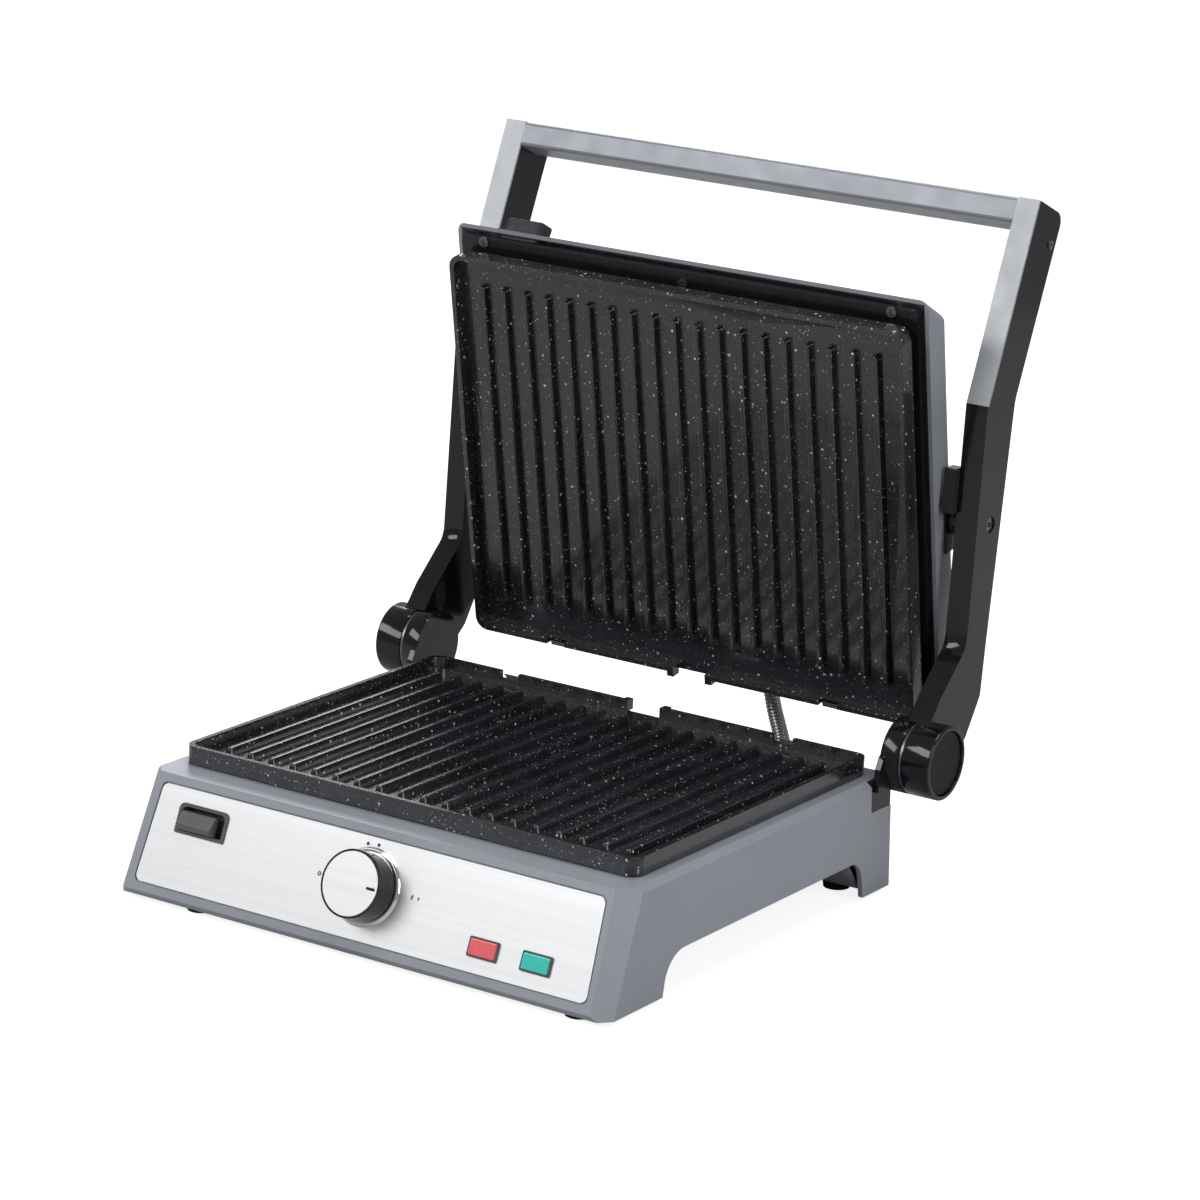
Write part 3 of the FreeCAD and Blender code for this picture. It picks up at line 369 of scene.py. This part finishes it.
def printed_ink():
    look = Look("printed_ink", (0.05, 0.05, 0.053), 0.55, specular=0.3)
    look.clouded(3000.0, 2.0, (0.4, 0.7), (0.04, 0.04, 0.043), (0.1, 0.1, 0.103))
    look.bump(look.noise(4000.0, 1.0), 0.01 * MM, 0.3)
    return look.material


ALONG_X = (5.0, 1500.0, 1500.0)

looks = {
    "body_paint": satin_paint("cool_grey_paint", (0.350, 0.368, 0.412)),
    "brushed_front": brushed_metal("brushed_front_steel", (0.93, 0.935, 0.945), 0.42, ALONG_X),
    "dark_plastic": moulded_plastic("dark_plastic", (0.022, 0.022, 0.025)),
    "release_grey": moulded_plastic("release_grey_plastic", (0.10, 0.10, 0.103), 0.42),
    "knob_black": gloss_enamel("knob_black_plastic", (0.018, 0.018, 0.021), 0.22),
    "chrome_trim": chrome_plate(),
    # both lenses carry painted rib shade and a faint painted glow
    "lens_red": lamp_lens("red_lens_painted_glow", (0.86, 0.16, 0.18), (0.55, 0.02, 0.04), 0.18),
    "lens_green": lamp_lens("green_lens_painted_glow", (0.06, 0.66, 0.56), (0.0, 0.30, 0.25), 0.12),
    "lamp_body": clear_tube(),
    "nonstick": nonstick_coating(),
    "spring_steel": brushed_metal("spring_steel", (0.22, 0.22, 0.23), 0.3, (900.0, 900.0, 40.0)),
    "element_steel": heated_steel(),
    "sheet_steel": zinc_sheet(),
    "foot_rubber": foot_rubber(),
    "fastener_steel": plated_screws(),
    "ceramic": glazed_ceramic(),
    "arm_black": gloss_enamel("arm_black_enamel", (0.0055, 0.0053, 0.0072), 0.11),
    "arm_trim_grey": satin_paint("arm_trim_paint", (0.43, 0.445, 0.475), 0.36),
    "handle_grey": satin_paint("handle_silver_paint", (0.30, 0.315, 0.35), 0.34),
    "frame_black": gloss_enamel("frame_black_enamel", (0.012, 0.012, 0.013), 0.24),
    "conduit_steel": brushed_metal("conduit_steel", (0.42, 0.40, 0.38), 0.24, (700.0, 700.0, 700.0)),
}

NODE_LOOKS = {
    "boss_caps": moulded_plastic("cap_plastic", (0.007, 0.0065, 0.0075), 0.6, 0.02),
    "lower_release_button": moulded_plastic("key_plastic", (0.13, 0.13, 0.134), 0.4),
    "lid_frame_screws": looks["spring_steel"],
}

SOFT_EDGES = {
    "base_housing": 0.6, "lid_housing": 0.5, "arm_right": 0.45, "arm_left": 0.45,
    "arm_trim_right": 0.3, "arm_trim_left": 0.3, "handle_bar": 0.6, "hinge_bracket_right": 0.25,
    "hinge_bracket_left": 0.25, "lower_plate": 0.35, "upper_plate": 0.35, "lid_inner_frame": 0.35,
    "drip_tray": 0.5, "lower_release_bezel": 0.3, "lower_release_button": 0.3, "thermostat_knob": 0.3,
    "indicator_bezels": 0.25, "lid_pivot_bracket_right": 0.5, "lid_pivot_bracket_left": 0.5,
    "arm_stop_pads": 0.5, "cord_gland": 0.4, "knob_ring": 0.2,
}


def soften_edges(piece, width):
    """Small rounded edges, as cast, moulded and pressed parts have."""
    weld = piece.modifiers.new("weld", "WELD")
    weld.merge_threshold = WELD_DISTANCE
    bevel = piece.modifiers.new("edge_round", "BEVEL")
    bevel.width = width * MM
    bevel.segments = 2
    bevel.limit_method = "ANGLE"
    bevel.angle_limit = math.radians(EDGE_ANGLE)
    bevel.use_clamp_overlap = True
    bevel.harden_normals = True


def dress_cad_nodes():
    for entry in frame["record"]["subparts"]:
        node = nodes[entry["node"]]
        node.data.materials.clear()
        node.data.materials.append(NODE_LOOKS.get(entry["node"], looks[entry["material_slot"]]))
        if entry["node"] in SOFT_EDGES:
            soften_edges(node, SOFT_EDGES[entry["node"]])


# ---- added pieces ----
def mesh_piece(name, mesh_data, material):
    mesh = bpy.data.meshes.new(name)
    mesh_data.to_mesh(mesh)
    mesh_data.free()
    mesh.materials.append(material)
    piece = bpy.data.objects.new(name, mesh)
    bpy.context.scene.collection.objects.link(piece)
    return piece


def panel_frame():
    """Matrix from local (x, up the slope, outwards) on the fascia's face to the frame."""
    low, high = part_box("control_panel")
    rise = high.z - low.z
    run = high.y - low.y
    # the sheet's own thickness adds to both sides of its box
    slope = math.atan2(rise, run)
    for _ in range(SLOPE_ROUNDS):
        slope = math.atan2(rise - PANEL_THICK * math.cos(slope), run - PANEL_THICK * math.sin(slope))
    up = Vector((0, math.cos(slope), math.sin(slope)))
    out = Vector((0, -math.sin(slope), math.cos(slope)))
    foot = Vector((0, low.y, low.z + PANEL_THICK * math.cos(slope)))
    knob_low, knob_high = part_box("thermostat_knob")
    centre = (knob_low + knob_high) / 2
    along = (centre - foot).dot(up)
    origin = foot + up * along
    return Matrix((
        (1, 0, 0, 0),
        (0, up.y, out.y, origin.y),
        (0, up.z, out.z, origin.z),
        (0, 0, 0, 1),
    ))


def flat_ring(data, centre, outer, inner):
    """Printed ring or disc: a thin closed band standing on the face."""
    loops = []
    for radius, height in ((outer, 0), (outer, PRINT_THICK), (inner, PRINT_THICK), (inner, 0)):
        ring = []
        for i in range(PRINT_SIDES):
            angle = 2 * math.pi * i / PRINT_SIDES
            ring.append(data.verts.new((centre[0] + radius * math.cos(angle),
                                        centre[1] + radius * math.sin(angle), height)))
        loops.append(ring)
    for first, second in zip(loops, loops[1:] + loops[:1]):
        for i in range(PRINT_SIDES):
            j = (i + 1) % PRINT_SIDES
            data.faces.new((first[i], first[j], second[j], second[i]))


def flat_bar(data, centre, length, width, angle):
    """Printed tick, rounded at both ends."""
    half = length / 2 - width / 2
    outline = []
    for end in (1, -1):
        for i in range(BAR_END_STEPS + 1):
            turn = math.radians(-90 + 180 * i / BAR_END_STEPS)
            outline.append((end * (half + width / 2 * math.cos(turn)), end * width / 2 * math.sin(turn)))
    spin = Matrix.Rotation(angle, 2)
    rings = []
    for height in (0, PRINT_THICK):
        ring = []
        for point in outline:
            turned = spin @ Vector(point)
            ring.append(data.verts.new((centre[0] + turned.x, centre[1] + turned.y, height)))
        rings.append(ring)
    count = len(outline)
    for i in range(count):
        j = (i + 1) % count
        data.faces.new((rings[0][i], rings[0][j], rings[1][j], rings[1][i]))
    data.faces.new(rings[1])
    data.faces.new(list(reversed(rings[0])))


def dial_marks():
    """Generic scale round the dial: a ring for off, two heat dots and two end bars."""
    data = bmesh.new()
    flat_ring(data, (OFF_RING[0] * MM, OFF_RING[1] * MM), OFF_RING_OUTER, OFF_RING_INNER)
    for x, up in HEAT_DOTS:
        flat_ring(data, (x * MM, up * MM), HEAT_DOT_OUTER, HEAT_DOT_INNER)
    for x, length in END_BARS:
        flat_bar(data, (x * MM, END_BAR_UP), length * MM, END_BAR_WIDTH, math.radians(END_BAR_LEAN))
    bmesh.ops.recalc_face_normals(data, faces=data.faces)
    piece = mesh_piece("dial_marks", data, printed_ink())
    piece.matrix_world = panel_frame() @ Matrix.Translation((0, 0, -PRINT_SINK))
    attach(piece, "base")


def dial_pointer():
    """Dark filling of the pointer's groove in the dial's cap."""
    data = bmesh.new()
    flat_bar(data, (POINTER_OUT, 0.0), POINTER_LENGTH, POINTER_WIDTH, 0.0)
    piece = mesh_piece("dial_pointer", data, looks["knob_black"])
    piece.matrix_world = panel_frame() @ Matrix.Translation((0, 0, POINTER_LIFT))
    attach(piece, "dial")


def conduit_line():
    """Smooth middle line of the conduit, from inside the base to inside the lid."""
    curve = bpy.data.curves.new("conduit_line", "CURVE")
    curve.dimensions = "3D"
    spline = curve.splines.new("NURBS")
    spline.points.add(len(CONDUIT_ROUTE) - 1)
    for point, place in zip(spline.points, CONDUIT_ROUTE):
        point.co = (*(Vector(place) * MM), 1)
    spline.order_u = 3
    spline.use_endpoint_u = True
    spline.resolution_u = CONDUIT_FINENESS
    line = bpy.data.objects.new("conduit_line", curve)
    bpy.context.scene.collection.objects.link(line)
    mesh = bpy.data.meshes.new_from_object(line)
    points = [vertex.co.copy() for vertex in mesh.vertices]
    bpy.data.objects.remove(line)
    bpy.data.meshes.remove(mesh)
    return points


def even_points(points, step):
    """The same line as points one step apart."""
    result = [points[0]]
    carried = 0.0
    for first, second in zip(points, points[1:]):
        span = (second - first).length
        while carried + span >= step:
            share = (step - carried) / span
            first = first.lerp(second, share)
            result.append(first)
            span = (second - first).length
            carried = 0.0
        carried += span
    return result


def conduit_piece(name, points, start_at, step):
    """Ribbed flexible tube along points; the ribs run on from piece to piece."""
    data = bmesh.new()
    rings = []
    side = Vector((1, 0, 0))
    for i, point in enumerate(points):
        ahead = points[min(i + 1, len(points) - 1)]
        behind = points[max(i - 1, 0)]
        along = (ahead - behind).normalized()
        up = along.cross(side).normalized()
        across = up.cross(along).normalized()
        phase = 2 * math.pi * (start_at + i) * step / CONDUIT_RIB_PITCH
        radius = CONDUIT_RADIUS - CONDUIT_RIB_DEPTH * (0.5 - 0.5 * math.cos(phase)) ** 2
        ring = []
        for k in range(CONDUIT_SIDES):
            angle = 2 * math.pi * k / CONDUIT_SIDES
            ring.append(data.verts.new(point + (across * math.cos(angle) + up * math.sin(angle)) * radius))
        rings.append(ring)
    for first, second in zip(rings, rings[1:]):
        for k in range(CONDUIT_SIDES):
            j = (k + 1) % CONDUIT_SIDES
            data.faces.new((first[k], first[j], second[j], second[k])).smooth = True
    data.faces.new(rings[0])
    data.faces.new(rings[-1])
    bmesh.ops.recalc_face_normals(data, faces=data.faces)
    return mesh_piece(name, data, looks["conduit_steel"])


def flexible_conduit():
    """Four lengths, one across each joint between the base and the lid.

    The shares in CONDUIT_ENDS were picked by trial, for the fewest cuts through other parts. Folded flat,
    the first length still passes through the drip tray and the second through the base housing.
    """
    step = CONDUIT_RIB_PITCH / CONDUIT_RINGS_PER_RIB
    points = even_points(conduit_line(), step)
    count = len(points) - 1
    for k in range(4):
        first = round(count * CONDUIT_ENDS[k])
        last = round(count * CONDUIT_ENDS[k + 1])
        run = points[first:last + 1]
        piece = conduit_piece("conduit_length_" + str(k + 1), run, first, step)
        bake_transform(piece)
        if k == 0:
            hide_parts("lid_cable_conduit")


# ---- stage, camera and light ----
def pale_floor():
    """Pale floor that the camera sees as white; its glow lights nothing."""
    look = Look("pale_floor", (0.52, 0.52, 0.52), 0.9, specular=0.1)
    look.clouded(3.0, 2.0, (0.3, 0.7), (0.50, 0.50, 0.50), (0.54, 0.54, 0.54))
    seen = look.tree.nodes.new("ShaderNodeLightPath")
    look.set("Emission Color", (1.0, 1.0, 1.0, 1.0))
    glow = look.math("MULTIPLY", seen.outputs["Is Camera Ray"], FLOOR_GLOW)
    look.tree.links.new(glow, look.shader.inputs["Emission Strength"])
    data = bmesh.new()
    bmesh.ops.create_grid(data, x_segments=1, y_segments=1, size=FLOOR_HALF)
    mesh = bpy.data.meshes.new("floor")
    data.to_mesh(mesh)
    data.free()
    mesh.materials.append(look.material)
    floor = bpy.data.objects.new("floor", mesh)
    floor.location.z = -FLOOR_DROP
    bpy.context.scene.collection.objects.link(floor)


def white_room():
    """Even pale light from all round; the camera itself sees a white backdrop."""
    world = bpy.data.worlds.new("studio")
    world.use_nodes = True
    tree = world.node_tree
    room = tree.nodes["Background"]
    room.inputs["Color"].default_value = (0.97, 0.985, 1.0, 1.0)
    room.inputs["Strength"].default_value = ROOM_GLOW
    backdrop = tree.nodes.new("ShaderNodeBackground")
    backdrop.inputs["Color"].default_value = (1.0, 1.0, 1.0, 1.0)
    backdrop.inputs["Strength"].default_value = BACKDROP_GLOW
    seen = tree.nodes.new("ShaderNodeLightPath")
    choice = tree.nodes.new("ShaderNodeMixShader")
    tree.links.new(seen.outputs["Is Camera Ray"], choice.inputs["Fac"])
    tree.links.new(room.outputs["Background"], choice.inputs[1])
    tree.links.new(backdrop.outputs["Background"], choice.inputs[2])
    tree.links.new(choice.outputs["Shader"], tree.nodes["World Output"].inputs["Surface"])
    bpy.context.scene.world = world


def softbox(name, place, target, width, height, power):
    light = bpy.data.lights.new(name, "AREA")
    light.shape = "RECTANGLE"
    light.size = width
    light.size_y = height
    light.energy = power
    lamp = bpy.data.objects.new(name, light)
    lamp.location = place
    lamp.rotation_mode = "QUATERNION"
    lamp.rotation_quaternion = (Vector(target) - Vector(place)).to_track_quat("-Z", "Y")
    bpy.context.scene.collection.objects.link(lamp)


def studio_lights():
    softbox("key", (-1.5, -2.4, 1.9), LIGHT_TARGET, 2.1, 1.1, 34.0)
    softbox("side", (2.6, -0.5, 1.3), LIGHT_TARGET, 1.0, 1.6, 18.0)
    softbox("top", (0.2, 0.3, 2.6), LIGHT_TARGET, 1.5, 1.2, 27.0)
    softbox("rear", (-1.3, 2.1, 1.6), LIGHT_TARGET, 1.4, 0.8, 20.0)


def main_camera():
    azimuth = math.radians(CAMERA_AZIMUTH)
    elevation = math.radians(CAMERA_ELEVATION)
    back = Vector((math.sin(azimuth) * math.cos(elevation), -math.cos(azimuth) * math.cos(elevation),
                   math.sin(elevation)))
    right = Vector((math.cos(azimuth), math.sin(azimuth), 0))
    up = back.cross(right)
    roll = math.radians(CAMERA_ROLL)
    rolled_right = right * math.cos(roll) + up * math.sin(roll)
    rolled_up = up * math.cos(roll) - right * math.sin(roll)
    camera = bpy.data.objects.new("camera", bpy.data.cameras.new("camera"))
    camera.data.sensor_width = CAMERA_SENSOR
    camera.data.lens = CAMERA_LENS
    camera.data.clip_start, camera.data.clip_end = CAMERA_REACH
    axes = Matrix((rolled_right, rolled_up, back)).transposed()
    camera.matrix_world = Matrix.Translation(CAMERA_PLACE) @ axes.to_4x4()
    bpy.context.scene.collection.objects.link(camera)
    bpy.context.scene.camera = camera


dress_cad_nodes()
dial_marks()
dial_pointer()
flexible_conduit()
pale_floor()
white_room()
studio_lights()
main_camera()
bpy.context.scene.view_settings.view_transform = "Standard"
